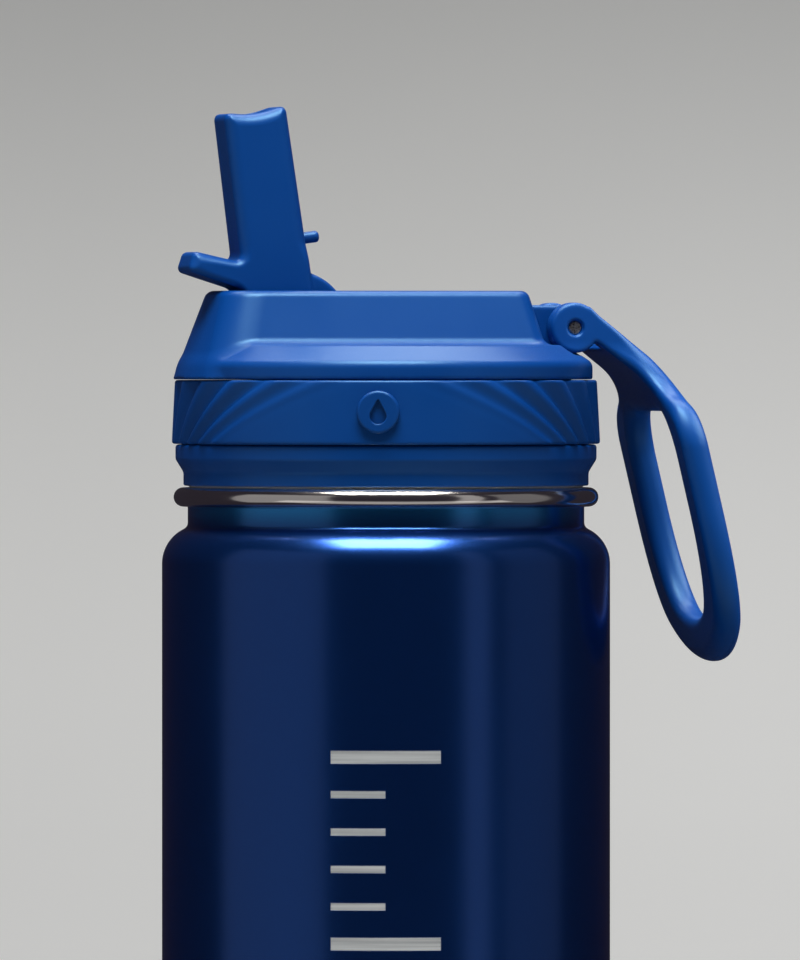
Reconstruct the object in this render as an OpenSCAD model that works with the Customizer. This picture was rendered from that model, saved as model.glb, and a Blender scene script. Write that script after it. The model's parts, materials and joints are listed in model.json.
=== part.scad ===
// Insulated water bottle with a screw lid, a fold-down drinking spout and a swinging carry handle.
// Millimetres. +Z is up, the origin is the centre of the base, +X points to the handle's side.

/* [Bottle] */
// Outside diameter of the straight body
body_d = 73; // [66:0.5:90]
// Height from the base to the top of the steel rim
bottle_h = 226; // [120:1:300]
// Thickness of the steel sheet
sheet_t = 0.6; // [0.4:0.1:0.8]
// Vacuum space between the shell and the liner
vacuum_gap = 1.9; // [1.5:0.1:2.5]
// Step from the body in to the neck, on the radius
neck_step = 4.2; // [3.8:0.1:5]
// Radius of the shoulder's curve
shoulder_r = 6.5; // [6:0.1:8]
// Radius of the fillet between shoulder and neck
neck_fillet = 1.2; // [0.8:0.1:1.6]
// Radius of the body's lower edge
foot_r = 3; // [2:0.5:5]
// Width of the flat foot that the shell rolls in to
foot_w = 5.3; // [4:0.1:8]
// Height of the rolled steel rim
rim_h = 3.1; // [2.6:0.1:3.6]
// How far the rim stands out past the neck
rim_out = 2.3; // [1.8:0.1:2.8]
// Height of the liner's floor above the base
floor_z = 8; // [7:0.5:14]
// Inside corner radius at the liner's floor
liner_corner = 8; // [4:0.5:14]

/* [Thread] */
// Rise of the thread in one turn
thread_pitch = 4; // [3.4:0.1:5]
// Turns of thread on the plug
thread_turns = 1.5; // [1:0.25:1.5]
// Height of a thread ridge
thread_depth = 1.25; // [1:0.05:1.4]
// Gap between a ridge and the wall that it faces
thread_gap = 0.5; // [0.3:0.05:0.7]

/* [Lid] */
// Thickness of the lid's walls
lid_wall = 2.4; // [2:0.1:3]
// Height of the collar under the grip band
collar_h = 6.7; // [6:0.1:8]
// Height of the grip band
band_h = 10.4; // [8:0.1:16]
// Height of the upright wall above the band
rim_wall_h = 2.7; // [2:0.1:5]
// Height of the chamfer above that wall
chamfer_h = 2.9; // [2:0.1:4]
// Width of that chamfer
chamfer_w = 4.45; // [3:0.05:5]
// Height of the raised block above the ledge
block_h = 8.8; // [8:0.1:12]
// Half the block's width at its foot
block_foot_y = 13; // [12:0.1:16]
// Half the block's width at its top
block_top_y = 9.9; // [9:0.1:11.5]
// Lean of the block's end wall at the handle
block_lean = 14; // [5:1:20]
// Depth of the plug below the rim
plug_depth = 13.4; // [11:0.1:16]
// Diameter of the badge on the grip band
badge_d = 6.9; // [5:0.1:8]

/* [Spout] */
// Length of the spout from its hinge to its tip
spout_reach = 36.2; // [32:0.1:38]
// Width of the spout, front to back
spout_w = 10.5; // [10:0.1:11.5]
// Thickness of the spout, side to side
spout_t = 10.8; // [10:0.1:11.5]
// Lean of the open spout from upright
spout_lean = 7.7; // [4:0.1:12]
// Radius of the round hub at the hinge
hub_r = 9.25; // [9:0.05:9.6]
// Diameter of the drinking bore
bore_d = 5.4; // [4.5:0.1:5.6]
// Diameter of the two hinge pins
spout_pin_d = 2.4; // [2:0.1:3]
// Thickness of the thumb tab
tab_t = 3.5; // [3:0.1:4.5]
// Reach of the thumb tab past the spout's face
tab_reach = 9.5; // [7:0.1:12]
// Diameter of the vent nub
nub_d = 1.9; // [1.5:0.1:2.2]
// Length of the vent nub
nub_len = 3.3; // [2:0.1:3.6]

/* [Handle] */
// Thickness of the handle
handle_t = 4.5; // [3.7:0.1:5.5]
// Thickness of its arms next to the ears
arm_t = 3.7; // [3.2:0.1:4]
// Outside width of the loop
loop_w = 43; // [36:0.5:52]
// Width of the loop's sides
strip_w = 6.6; // [5:0.1:8]
// Radius of the ears
ear_r = 4.1; // [3.6:0.1:4.4]
// Thickness of each ear
ear_t = 3.4; // [2.5:0.1:4]
// Diameter of the handle's pin
handle_pin_d = 2.2; // [1.8:0.1:2.6]
// Slope of the arms below level
arm_slope = 37.8; // [30:0.1:45]
// Lean of the loop from upright
loop_lean = 13.3; // [5:0.1:20]
// Distance along the arms from the pin to the bend
arm_len = 17; // [15:0.1:20]
// Drop from the pin to the foot of the loop
loop_drop = 54.6; // [46:0.2:66]

/* [Straw] */
// Outside diameter of the straw
straw_d = 7; // [6.4:0.1:7.2]
// Thickness of the straw's wall
straw_t = 0.7; // [0.6:0.1:0.9]
// Gap between the straw's foot and the liner's floor
straw_foot_gap = 6; // [3:0.5:12]

/* [Fits] */
// Radial clearance of a pin that turns in its bore
run_gap = 0.05; // [0.03:0.01:0.09]
// Clearance between pieces that are assembled and stay put
set_gap = 0.05; // [0.02:0.01:0.1]
// Clearance around moving parts
move_gap = 0.4; // [0.3:0.05:0.6]

/* [Hidden] */
$fn = 96;
eps = 0.01;

// Bottle
body_r = body_d / 2;
neck_r = body_r - neck_step;
liner_offset = sheet_t + vacuum_gap;
neck_weld_gap = 0.3;
liner_neck_r = neck_r - sheet_t - neck_weld_gap;
mouth_r = liner_neck_r - sheet_t;
rim_r = neck_r + rim_out;
rim_z = bottle_h - rim_h;
fillet_c = neck_r + neck_fillet;
fillet_rise = sqrt(pow(shoulder_r + neck_fillet, 2) - pow(fillet_c - body_r + shoulder_r, 2));
neck_h = 2.6;
join_ease = 0.97;
shoulder_z = rim_z - neck_h - fillet_rise;
plate_r = body_r - foot_r;
cover_r = plate_r - foot_w;
dimple_r = 4.5;
dimple_h = 1.2;
seal_disc_r = 3.2;
evacuation_r = 0.8;
getter_r = 5;
getter_h = 3;
getter_x = 16;

// Thread
ridge_base = 1.6;
ridge_crest = 0.9;
plug_r = mouth_r - thread_gap - thread_depth;
neck_turns = 1;
thread_start = 3.3;
neck_thread_z = rim_z - thread_start;
plug_thread_z = neck_thread_z - thread_pitch / 2;
thread_sink = 0.35;
thread_steps = 36;
thread_taper = 5;

// Lid, from the rim up
seam = 0.1;
rim_gap = 0.3;
collar_z = bottle_h + rim_gap;
collar_top = collar_z + collar_h;
band_z = collar_top + seam;
band_top = band_z + band_h;
housing_z = band_top + seam;
wall_top = housing_z + rim_wall_h;
ledge_z = wall_top + chamfer_h;
top_z = ledge_z + block_h;
collar_foot_r = neck_r + 0.7;
collar_r = neck_r + 2;
band_foot_r = neck_r + 2.6;
band_crown_r = neck_r + 2.1;
seat_r = neck_r + 0.3;
housing_r = neck_r + 1.35;
ledge_r = housing_r - chamfer_w;
collar_step_lo = 2.2;
collar_step_hi = 4.3;
flange_z = bottle_h + 1.6;
flange_t = 2;
lip_t = 0.65;
plug_z = bottle_h - plug_depth;
plug_bore_r = plug_r - lid_wall;
deck_sunk = 4.2;
housing_floor = 1.2;
deck_top = housing_z - deck_sunk;
deck_t = lid_wall;
deck_z = deck_top - deck_t;
lid_bore_r = seat_r - lid_wall;
plug_cover_t = 2;
gasket_w = 2;
gasket_h = 1.5;
badge_turn = 254;
badge_rise = 5.3;
badge_out = 0.95;
badge_depth = 2.6;
badge_z = band_z + badge_rise;
groove_w = 1.1;
groove_depth = 0.45;
groove_count = 7;
groove_start = 26;
groove_pitch = 7.2;
groove_lean = [52, 4];

// Spout, in its own frame: the hinge is the origin and the spout points up
face_left = -7.15;
face_right = face_left + spout_t;
spout_mid = (face_left + face_right) / 2;
edge_r = 2;
end_wall = 1.3;
end_inset = 11.9;
hinge_drop = 6;
hub_gap = 0.5;
block_x = housing_r - end_inset;
spout_sweep = sqrt(spout_reach * spout_reach + face_right * face_right);
hinge_x = block_x - end_wall - move_gap - spout_sweep;
hinge_z = top_z - hinge_drop;
channel_y = spout_w / 2 + move_gap;
channel_z = hinge_z - face_right - move_gap;
pocket_r = hub_r + hub_gap;
trough_wall = 1.8;
bore_r = bore_d / 2;
bore_foot = -sqrt(hub_r * hub_r - spout_mid * spout_mid);
port_x = hinge_x + spout_mid * cos(spout_lean) - bore_foot * sin(spout_lean);
bore_wall = 0.75;
pin_in_hub = spout_w / 2 - bore_r - bore_wall;
pin_in_wall = 3.4;
tab_rise = 23.2;
tab_root = 8.5;
tab_taper = 0.45;
tab_round = 0.9;
nub_s = 14.1;
saddle_r = 13;
saddle_drop = 0.7;
vent_x = hinge_x + nub_s;
nub_gap = 0.3;
vent_r = nub_d / 2 + nub_gap;
vent_slot = 1.25;
vent_boss_r = 3.2;
seal_r = 5.1;
seal_sunk = 1.2;
seal_gap = 0.12;
valve_r = 1.6;
valve_flange_r = 2.9;
valve_flange_t = 1.4;
valve_bore_r = 0.5;

// Straw
duct_wall = 2;
duct_r = straw_d / 2 + duct_wall;
bushing_t = 0.6;
duct_bore_r = straw_d / 2 + bushing_t + 2 * set_gap;
duct_drop = 5;
duct_z = plug_z - duct_drop;
bushing_h = 13;
bushing_flange = 1.2;
straw_top = duct_z + bushing_h;
straw_z = floor_z + sheet_t + straw_foot_gap;

// Handle
pin_inset = 4.05;
pin_x = housing_r - pin_inset;
pin_z = hinge_z;
bracket_r = 3.7;
bracket_y = 5.4;
bracket_sunk = 1.5;
ear_gap = 0.2;
ear_in = bracket_y + ear_gap;
ear_out = ear_in + ear_t;
slot_reach = 6.3;
pin_recess = 0.5;
recess_step = 0.3;
ear_step = 0.05;
pin_recess_r = handle_pin_d / 2 + recess_step;
arm_top = ear_r - ear_step;
bend_r_out = 11.5;
bend_r_in = 7.5;
neck_flare_z = 8.7;
neck_flare_h = 5.4;
neck_round = 3.5;
loop_round = 10;
foot_round = 8;
foot_crown = 25;
hole_y = loop_w / 2 - strip_w;
hole_top = 13.6;
hole_foot = 7.2;
hole_round = 8;
hole_crown = 18;
loop_foot = -loop_drop;

steel = [0.74, 0.75, 0.77];
navy = [0.05, 0.07, 0.25];
blue = [0.06, 0.24, 0.62];
deep_blue = [0.05, 0.19, 0.52];
clear_grey = [0.86, 0.88, 0.9];

// Points of a polygon whose corners [x, y, radius] are rounded
function unit(v) = v / norm(v);
function round_corner(prev, here, next, steps = 7) =
    here[2] <= 0 ? [[here[0], here[1]]] :
    let (c = [here[0], here[1]], u = unit([prev[0], prev[1]] - c), v = unit([next[0], next[1]] - c))
    let (half = acos(u * v) / 2, mid = c + unit(u + v) * here[2] / sin(half))
    let (a = c + u * here[2] / tan(half) - mid, b = c + v * here[2] / tan(half) - mid)
    let (start = atan2(a[1], a[0]), turn = (atan2(b[1], b[0]) - start + 540) % 360 - 180)
    [for (k = [0:steps]) mid + here[2] * [cos(start + turn * k / steps), sin(start + turn * k / steps)]];
function rounded(pts) =
    let (n = len(pts))
    [for (i = [0:n - 1]) each round_corner(pts[(i + n - 1) % n], pts[i], pts[(i + 1) % n])];

// Half section of the bottle, moved in by in_body on the body and in_neck on the neck
module bottle_section(in_body, in_neck, z0, z1, low_corner) {
    wall = body_r - in_body;
    neck = neck_r - in_neck;
    arc = shoulder_r - in_body;
    fillet = fillet_c - neck;
    across_c = fillet_c - body_r + shoulder_r;
    rise = sqrt(pow(arc + fillet, 2) - pow(across_c, 2));
    touch = [body_r - shoulder_r, shoulder_z] + [across_c, rise] * arc / (arc + fillet);
    slope = function (x, r) [x, touch[1] - (x - touch[0]) * across_c / rise, r * join_ease];
    polygon(rounded([[0, z0, 0], [wall, z0, low_corner], slope(wall, arc), slope(neck, fillet),
                     [neck, z1, 0], [0, z1, 0]]));
}

// Helical ridge of trapezoid section on a wall of radius r; side is 1 outwards and -1 inwards
module ridge(r, side, z, turns, depth) {
    steps = ceil(thread_steps * turns);
    foot = side * ridge_base / 2;
    crest = side * ridge_crest / 2;
    section = function (h) [[-thread_sink, -foot], [h, -crest], [h, crest], [-thread_sink, foot]];
    points = [for (i = [0:steps])
        let (a = 360 * turns * i / steps, grow = min(1, i / thread_taper, (steps - i) / thread_taper))
        for (p = section(depth * grow - thread_sink / 2 * (1 - grow)))
            [(r + side * p[0]) * cos(a), (r + side * p[0]) * sin(a), z + thread_pitch * a / 360 + p[1]]];
    sides = [for (i = [0:steps - 1], j = [0:3])
        let (k = (j + 1) % 4) [4 * i + j, 4 * i + k, 4 * (i + 1) + k, 4 * (i + 1) + j]];
    polyhedron(points, concat([[3, 2, 1, 0]], sides, [[for (j = [0:3]) 4 * steps + j]]));
}

module ring(r_out, r_in, z0, z1) {
    translate([0, 0, z0]) difference() {
        cylinder(h = z1 - z0, r = r_out);
        translate([0, 0, -eps]) cylinder(h = z1 - z0 + 2 * eps, r = r_in);
    }
}

// A cylinder along Y, centred on y = 0
module across(r, width) {
    rotate([90, 0, 0]) cylinder(h = width, r = r, center = true);
}

// A side view in X and Z, given width along Y
module side_prism(width) {
    rotate([90, 0, 0]) linear_extrude(height = width, center = true) children();
}

module at_spout_hinge() {
    translate([hinge_x, 0, hinge_z]) children();
}

module at_handle_pin() {
    translate([pin_x, 0, pin_z]) children();
}

// Bottle
module outer_shell() {
    color(navy) rotate_extrude() difference() {
        bottle_section(0, 0, 0, rim_z, foot_r);
        bottle_section(sheet_t, sheet_t, sheet_t, rim_z + eps, foot_r - sheet_t);
        translate([-eps, -eps]) square([cover_r + eps, foot_r]);
    }
}

module inner_liner() {
    bead = rim_h / 2;
    color(steel) {
        rotate_extrude() difference() {
            union() {
                bottle_section(liner_offset, neck_r - liner_neck_r, floor_z, rim_z + eps, liner_corner);
                translate([0, rim_z]) square([rim_r - bead, rim_h]);
                translate([rim_r - bead, rim_z + bead]) circle(bead);
            }
            bottle_section(liner_offset + sheet_t, neck_r - mouth_r, floor_z + sheet_t, bottle_h + eps,
                           liner_corner - sheet_t);
        }
        ridge(mouth_r, -1, neck_thread_z, neck_turns, thread_depth);
    }
}

module base_plate() {
    color(steel) rotate_extrude() difference() {
        union() {
            translate([0, sheet_t]) square([plate_r - set_gap, sheet_t]);
            translate([0, sheet_t]) square([dimple_r + sheet_t, dimple_h + sheet_t]);
        }
        square([dimple_r, sheet_t + dimple_h]);
        square([evacuation_r, foot_r + dimple_h]);
    }
}

module base_cover() {
    color(deep_blue) cylinder(h = sheet_t, r = cover_r - 2 * set_gap);
}

module vacuum_seal() {
    color("gray") translate([0, 0, sheet_t]) cylinder(h = dimple_h, r = seal_disc_r);
}

module getter() {
    color("dimgray") translate([getter_x, 0, 2 * sheet_t]) cylinder(h = getter_h, r = getter_r);
}

// Lid
module lid_section() {
    difference() {
        union() {
            translate([0, collar_z]) square([collar_foot_r, collar_step_lo]);
            polygon([[0, collar_z + collar_step_lo], [collar_foot_r, collar_z + collar_step_lo],
                     [collar_r, collar_z + collar_step_hi], [0, collar_z + collar_step_hi]]);
            translate([0, collar_z + collar_step_hi]) square([collar_r, collar_h - collar_step_hi]);
            translate([0, collar_top - eps]) square([seat_r, band_top - collar_top]);
            translate([0, plug_z]) square([plug_r, collar_z - plug_z + eps]);
        }
        translate([-eps, deck_top]) square([lid_bore_r + eps, band_top]);
        translate([-eps, flange_z + flange_t]) square([lid_bore_r + eps, deck_z - flange_z - flange_t]);
        translate([-eps, plug_z - eps]) square([plug_bore_r + eps, flange_z + flange_t - plug_z + 2 * eps]);
        translate([plug_r, collar_z - eps])
            square([collar_foot_r - lip_t - plug_r, flange_z - collar_z + eps]);
    }
}

module lid_base() {
    color(blue) difference() {
        union() {
            rotate_extrude() lid_section();
            ridge(plug_r, 1, plug_thread_z, thread_turns, thread_depth);
            translate([port_x, 0, duct_z]) cylinder(h = deck_z - duct_z + eps, r = duct_r);
        }
        translate([port_x, 0, duct_z - eps]) cylinder(h = bushing_h + eps, r = duct_bore_r);
        translate([port_x, 0, duct_z]) cylinder(h = deck_top - duct_z + eps, r = bore_r);
        translate([port_x, 0, deck_top - seal_sunk]) cylinder(h = seal_sunk + eps, r = seal_r + set_gap);
        translate([vent_x, 0, deck_z - eps]) cylinder(h = deck_t + 2 * eps, r = valve_r + set_gap);
    }
}

module plug_cover() {
    color(blue) translate([0, 0, plug_z]) difference() {
        cylinder(h = plug_cover_t, r = plug_bore_r - set_gap);
        translate([port_x, 0, -eps]) cylinder(h = plug_cover_t + 2 * eps, r = duct_r + set_gap);
        translate([vent_x, 0, -eps]) cylinder(h = plug_cover_t + 2 * eps, r = vent_r);
    }
}

module lid_gasket() {
    gasket_r = collar_foot_r - lip_t - set_gap;
    top = flange_z - set_gap;
    color("lightgray") ring(gasket_r, gasket_r - gasket_w, top - gasket_h, top);
}

module at_badge() {
    rotate([0, 0, badge_turn]) translate([0, 0, badge_z]) rotate([0, 90, 0]) children();
}

module grip_band() {
    color(blue) difference() {
        translate([0, 0, band_z]) cylinder(h = band_h, r1 = band_foot_r, r2 = band_crown_r);
        translate([0, 0, band_z - eps]) cylinder(h = band_h + 2 * eps, r = seat_r + set_gap);
        at_badge() cylinder(h = body_r + eps, r = badge_d / 2 + set_gap);
        for (half = [0, 180], side = [-1, 1], i = [0:groove_count - 1])
            let (lean = groove_lean[0] + (groove_lean[1] - groove_lean[0]) * i / (groove_count - 1))
            rotate([0, 0, badge_turn + half + side * (groove_start + groove_pitch * i)])
            translate([band_foot_r, 0, band_z + band_h / 2]) rotate([-side * lean, 0, 0])
            cube([2 * groove_depth, groove_w, 3 * band_h], center = true);
    }
}

module badge() {
    color(deep_blue) at_badge() translate([0, 0, band_foot_r + badge_out - badge_depth])
        cylinder(h = badge_depth, r = badge_d / 2);
}

// The raised block, drawn in by t on every face
module block(t) {
    lean_x = block_h * tan(block_lean);
    intersection() {
        rotate_extrude() polygon([[0, housing_z], [housing_r - t, housing_z], [housing_r - t, wall_top],
                                  [ledge_r - t, top_z - t], [0, top_z - t]]);
        rotate([90, 0, 90]) linear_extrude(height = 4 * housing_r, center = true)
            polygon([[t - block_foot_y, housing_z], [block_foot_y - t, housing_z],
                     [block_foot_y - t, ledge_z], [block_top_y - t, top_z],
                     [t - block_top_y, top_z], [t - block_foot_y, ledge_z]]);
        side_prism(4 * housing_r)
            polygon([[-2 * housing_r, housing_z], [block_x + lean_x - t, housing_z],
                     [block_x + lean_x - t, ledge_z], [block_x - t, top_z], [-2 * housing_r, top_z]]);
    }
}

// The round skirt and chamfer under the block, drawn in by t
module skirt(t) {
    rotate_extrude() polygon([[0, housing_z], [housing_r - t, housing_z], [housing_r - t, wall_top - t / 4],
                              [ledge_r - t / 2, ledge_z - t], [0, ledge_z - t]]);
}

module bracket() {
    foot = pin_z - ledge_z + bracket_sunk;
    at_handle_pin() {
        across(bracket_r, 2 * bracket_y);
        translate([block_x - pin_x - end_wall, -bracket_y, -foot])
            cube([pin_x - block_x + end_wall, 2 * bracket_y, foot + bracket_r]);
    }
}

// Space that the spout and its hub need
module channel() {
    reach = spout_sweep + move_gap;
    at_spout_hinge() {
        across(pocket_r, 2 * channel_y);
        translate([0, -channel_y, channel_z - hinge_z]) cube([reach, 2 * channel_y, 2 * block_h]);
        translate([-pocket_r, -channel_y, 0]) cube([pocket_r, 2 * channel_y, block_h]);
    }
}

// The nub swings in on an arc, so its hole is longer than it is wide
module vent_opening(h) {
    for (x = [vent_x, vent_x + vent_slot])
        translate([x, 0, 0]) cylinder(h = h, r = vent_r);
    translate([vent_x, -vent_r, 0]) cube([vent_slot, 2 * vent_r, h]);
}

module lid_housing() {
    spigot_r = lid_bore_r - set_gap;
    color(blue) difference() {
        union() {
            difference() {
                union() {
                    block(0);
                    skirt(0);
                }
                block(lid_wall);
                skirt(lid_wall);
                translate([0, 0, housing_z - eps]) cylinder(h = housing_floor, r = lid_bore_r - lid_wall);
            }
            ring(housing_r, spigot_r - lid_wall / 2, housing_z, housing_z + housing_floor);
            ring(spigot_r, spigot_r - lid_wall / 2, deck_top + set_gap, housing_z + housing_floor);
            intersection() {
                union() {
                    block(0);
                    skirt(0);
                }
                at_spout_hinge() {
                    across(pocket_r + trough_wall, 2 * (channel_y + trough_wall));
                    translate([0, -channel_y - trough_wall, channel_z - hinge_z - trough_wall])
                        cube([spout_sweep + trough_wall, 2 * (channel_y + trough_wall), 2 * block_h]);
                    across(spout_pin_d, 2 * (channel_y + pin_in_wall + 1));
                }
            }
            translate([vent_x + vent_slot / 2, 0, deck_top + set_gap])
                cylinder(h = channel_z - deck_top - set_gap, r = vent_boss_r);
            bracket();
        }
        channel();
        translate([0, 0, deck_top]) vent_opening(block_h + chamfer_h);
        at_spout_hinge() across(spout_pin_d / 2 + set_gap / 4, 2 * (channel_y + pin_in_wall));
        at_handle_pin() {
            across(handle_pin_d / 2 + run_gap, 3 * bracket_y);
            for (side = [-1, 1])
                translate([0, side * (bracket_y + ear_t), 0]) across(ear_r + move_gap, 2 * ear_t);
        }
    }
}

module vent_valve() {
    foot = deck_z - valve_flange_t;
    color("lightgray") translate([vent_x, 0, 0]) difference() {
        union() {
            translate([0, 0, foot]) cylinder(h = valve_flange_t, r = valve_flange_r);
            translate([0, 0, foot]) cylinder(h = deck_top - foot, r = valve_r);
        }
        translate([0, 0, foot - eps]) cylinder(h = 2 * deck_t, r = valve_bore_r);
    }
}

// Spout and flow path
module spout_seal() {
    color("lightgray") difference() {
        translate([port_x, 0, deck_top - seal_sunk])
            cylinder(h = housing_z - seam - deck_top + seal_sunk, r = seal_r);
        translate([port_x, 0, deck_z]) cylinder(h = 2 * block_h, r = bore_r);
        at_spout_hinge() across(hub_r + seal_gap, 4 * seal_r);
    }
}

module spout_pins() {
    length = pin_in_hub + move_gap + pin_in_wall - set_gap;
    color(steel) at_spout_hinge() for (side = [-1, 1])
        translate([0, side * (spout_w / 2 - pin_in_hub + length / 2), 0]) across(spout_pin_d / 2, length);
}

module rounded_bar(t, w, r) {
    for (x = [-1, 1], y = [-1, 1])
        translate([x * (t / 2 - r), y * (w / 2 - r)]) circle(r);
    square([t - 2 * r, w], center = true);
    square([t, w - 2 * r], center = true);
}

module tab() {
    root = [face_left + edge_r, tab_root];
    side_prism(spout_w) translate(root) rotate(180 - tab_rise) polygon(rounded([
        [0, -tab_t / 2 - tab_taper, 0], [tab_reach + edge_r, -tab_t / 2, tab_round],
        [tab_reach + edge_r, tab_t / 2, tab_round], [0, tab_t / 2 + tab_taper, 0]]));
}

module spout() {
    color(blue) at_spout_hinge() rotate([0, -spout_lean, 0]) difference() {
        union() {
            across(hub_r, spout_w);
            translate([spout_mid, 0, 0]) linear_extrude(height = spout_reach)
                rounded_bar(spout_t, spout_w, edge_r);
            tab();
            translate([face_right - 1, 0, nub_s]) rotate([0, 90, 0])
                cylinder(h = nub_len + 1, r = nub_d / 2);
        }
        translate([spout_mid, 0, spout_reach + saddle_r - saddle_drop]) across(saddle_r, 2 * spout_w);
        translate([spout_mid, 0, -hub_r - 1]) cylinder(h = hub_r + spout_reach + 2, r = bore_r);
        for (side = [-1, 1])
            translate([0, side * (spout_w / 2 - pin_in_hub / 2 + set_gap / 2), 0])
                across(spout_pin_d / 2 + run_gap, pin_in_hub + 3 * set_gap);
    }
}

module straw_bushing() {
    bush_r = duct_bore_r - set_gap;
    color("lightgray") translate([port_x, 0, 0]) difference() {
        union() {
            translate([0, 0, duct_z]) cylinder(h = bushing_h, r = bush_r);
            translate([0, 0, duct_z - bushing_flange]) cylinder(h = bushing_flange, r = duct_r);
        }
        translate([0, 0, duct_z - 2 * bushing_flange]) cylinder(h = 2 * bushing_h, r = bush_r - bushing_t);
    }
}

module straw() {
    color(clear_grey) translate([port_x, 0, 0])
        ring(straw_d / 2, straw_d / 2 - straw_t, straw_z, straw_top);
}

// Handle
module handle_pin() {
    color(steel) at_handle_pin() across(handle_pin_d / 2, 2 * (ear_out - pin_recess));
}

// Side view of the arms and the loop without the ears, with the pin at the origin
module arm_and_loop_side() {
    arm = [cos(arm_slope), -sin(arm_slope)];
    arm_up = [sin(arm_slope), cos(arm_slope)];
    down = [sin(loop_lean), -cos(loop_lean)];
    out = [cos(loop_lean), sin(loop_lean)];
    bend = arm * arm_len + arm_up * (arm_top - arm_t / 2);
    // Where the line through the arm's face at p meets the line through the loop's face at q
    cross2 = function (a, b) a[0] * b[1] - a[1] * b[0];
    meet = function (p, q) p + arm * cross2(q - p, down) / cross2(arm, down);
    top = meet(arm_up * arm_top, bend + out * handle_t / 2);
    under = meet(arm_up * (arm_top - arm_t), bend - out * handle_t / 2);
    tip = bend + down * loop_drop;
    polygon(rounded([
        concat(arm_up * arm_top, 0), concat(top, bend_r_out), concat(tip + out * handle_t / 2, 1),
        concat(tip - out * handle_t / 2, 1), concat(under, bend_r_in),
        concat(arm_up * (arm_top - arm_t), 0)]));
}

// Outline whose lower end is cut to an arc of radius crown that touches z = foot
module crowned(foot, crown) {
    intersection() {
        children();
        union() {
            translate([0, foot + crown]) circle(crown);
            translate([-crown, foot + crown]) square(2 * loop_drop);
        }
    }
}

// Front view of the handle in Y and Z, with the pin at the origin
module handle_front() {
    shoulder = -neck_flare_z;
    half = loop_w / 2;
    difference() {
        crowned(loop_foot, foot_crown) polygon(rounded([
            [-ear_out, ear_r + 1, 0], [ear_out, ear_r + 1, 0], [ear_out, shoulder, neck_round],
            [half, shoulder - neck_flare_h, loop_round], [half, loop_foot, foot_round],
            [-half, loop_foot, foot_round], [-half, shoulder - neck_flare_h, loop_round],
            [-ear_out, shoulder, neck_round]]));
        crowned(loop_foot + hole_foot, hole_crown) polygon(rounded([
            [-hole_y, -hole_top, hole_round], [hole_y, -hole_top, hole_round],
            [hole_y, loop_foot + hole_foot, hole_round], [-hole_y, loop_foot + hole_foot, hole_round]]));
    }
}

module handle_loop() {
    color(blue) at_handle_pin() difference() {
        intersection() {
            union() {
                across(ear_r, 2 * loop_w);
                side_prism(2 * loop_w) arm_and_loop_side();
            }
            rotate([90, 0, 90]) linear_extrude(height = 4 * loop_drop, center = true) handle_front();
        }
        rotate([0, arm_slope, 0]) translate([-2 * ear_r, -ear_in, -2 * ear_r])
            cube([2 * ear_r + slot_reach, 2 * ear_in, 4 * ear_r]);
        across(handle_pin_d / 2 + set_gap / 4, loop_w);
        for (side = [-1, 1])
            translate([0, side * ear_out, 0]) across(pin_recess_r, 2 * pin_recess);
    }
}

outer_shell();
inner_liner();
base_plate();
base_cover();
vacuum_seal();
getter();
lid_base();
plug_cover();
lid_gasket();
grip_band();
badge();
lid_housing();
vent_valve();
spout_seal();
spout_pins();
spout();
straw_bushing();
straw();
handle_pin();
handle_loop();
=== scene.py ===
import json
import math

import bmesh
import bpy
import numpy as np
import openvdb
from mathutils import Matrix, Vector


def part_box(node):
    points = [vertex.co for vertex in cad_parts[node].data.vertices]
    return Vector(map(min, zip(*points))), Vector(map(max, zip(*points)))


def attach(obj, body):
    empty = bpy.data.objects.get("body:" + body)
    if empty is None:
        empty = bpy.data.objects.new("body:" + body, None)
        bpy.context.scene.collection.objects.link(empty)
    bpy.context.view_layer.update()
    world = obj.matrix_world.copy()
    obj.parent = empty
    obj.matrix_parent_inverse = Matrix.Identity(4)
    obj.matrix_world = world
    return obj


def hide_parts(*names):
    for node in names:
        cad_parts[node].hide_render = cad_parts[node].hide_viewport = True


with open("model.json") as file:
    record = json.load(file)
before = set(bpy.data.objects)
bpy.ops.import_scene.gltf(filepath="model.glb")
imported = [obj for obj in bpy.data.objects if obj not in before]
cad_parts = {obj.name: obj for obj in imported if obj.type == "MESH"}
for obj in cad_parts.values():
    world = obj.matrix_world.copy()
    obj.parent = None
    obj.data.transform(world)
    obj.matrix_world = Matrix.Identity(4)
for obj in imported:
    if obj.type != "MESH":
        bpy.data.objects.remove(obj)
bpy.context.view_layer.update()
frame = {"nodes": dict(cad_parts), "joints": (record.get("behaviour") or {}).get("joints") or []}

# Shapes are worked out in millimetres and scaled by MM when their mesh is made.
MM = 0.001
JOINTS = {joint["name"]: joint for joint in frame["joints"]}
HINGE_X, _, HINGE_Z = [v / MM for v in JOINTS["spout_flip"]["pos_m"]]
PIN_X, _, PIN_Z = [v / MM for v in JOINTS["handle_swing"]["pos_m"]]


def span(node):
    """Lowest and highest corner of a CAD node, in millimetres."""
    low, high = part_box(node)
    return [v / MM for v in low], [v / MM for v in high]


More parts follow.
